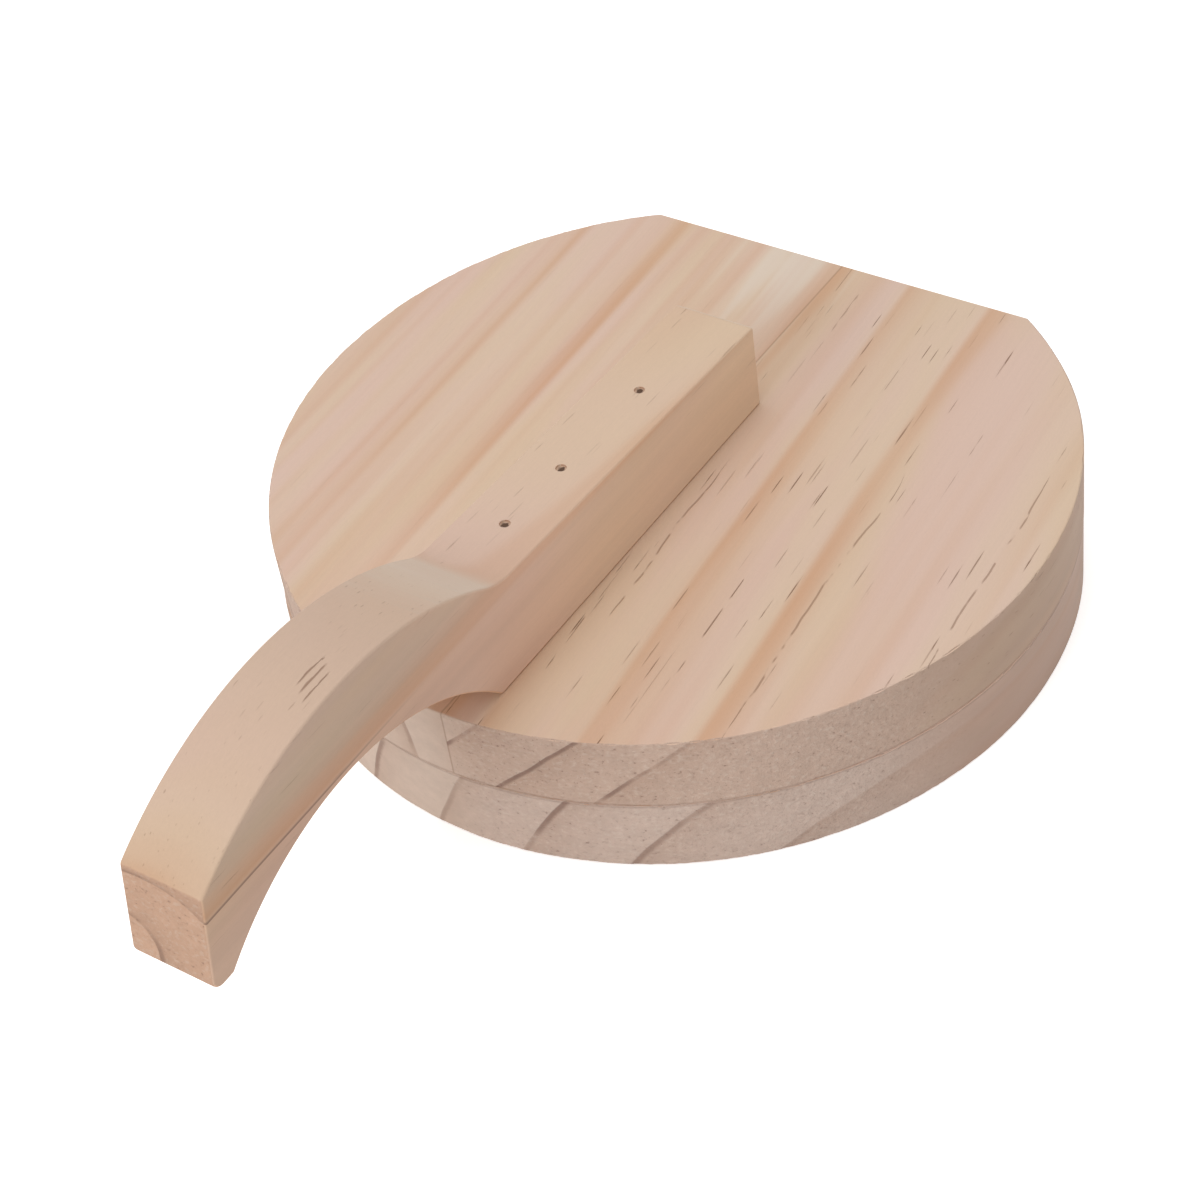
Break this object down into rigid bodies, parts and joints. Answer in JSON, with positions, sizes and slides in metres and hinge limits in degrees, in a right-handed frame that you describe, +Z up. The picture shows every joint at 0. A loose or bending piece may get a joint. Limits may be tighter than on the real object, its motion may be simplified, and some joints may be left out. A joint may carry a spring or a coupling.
{
  "type": "tortilla press",
  "caption": "Hinged round wooden press that flattens a ball of dough into a disc, with an arched handle on its upper board.",
  "frame": {"origin": "centre of the round lower board on its underside, on the surface that it stands on", "axes": "+Z up; +Y from the disc's centre towards the flat back and the hinge; the handle reaches towards -Y; +X to the right seen from the handle's end"},
  "size_m": [0.15, 0.2107, 0.065],
  "materials": {
    "base_pine": "bare sanded pine",
    "press_pine": "bare sanded pine",
    "handle_pine": "bare sanded pine",
    "brad_steel": "dull",
    "leaf_steel": "zinc plated",
    "pin_steel": "zinc plated",
    "screw_steel": "zinc plated"
  },
  "bodies": {
    "base": {"base_board": "base_pine", "hinge_leaf_base": "leaf_steel", "hinge_pin": "pin_steel", "hinge_screw_base_left": "screw_steel", "hinge_screw_base_middle": "screw_steel", "hinge_screw_base_right": "screw_steel"},
    "press": {"press_board": "press_pine", "handle": "handle_pine", "handle_brad_front": "brad_steel", "handle_brad_middle": "brad_steel", "handle_brad_rear": "brad_steel", "hinge_leaf_press": "leaf_steel", "hinge_screw_press_left": "screw_steel", "hinge_screw_press_middle": "screw_steel", "hinge_screw_press_right": "screw_steel"}
  },
  "joints": [
    {"name": "press_hinge", "type": "hinge", "parent": "base", "child": "press", "pos_m": [0, 0.06545, 0.015], "axis": [-1, 0, 0], "range_deg": [0, 158]}
  ]
}
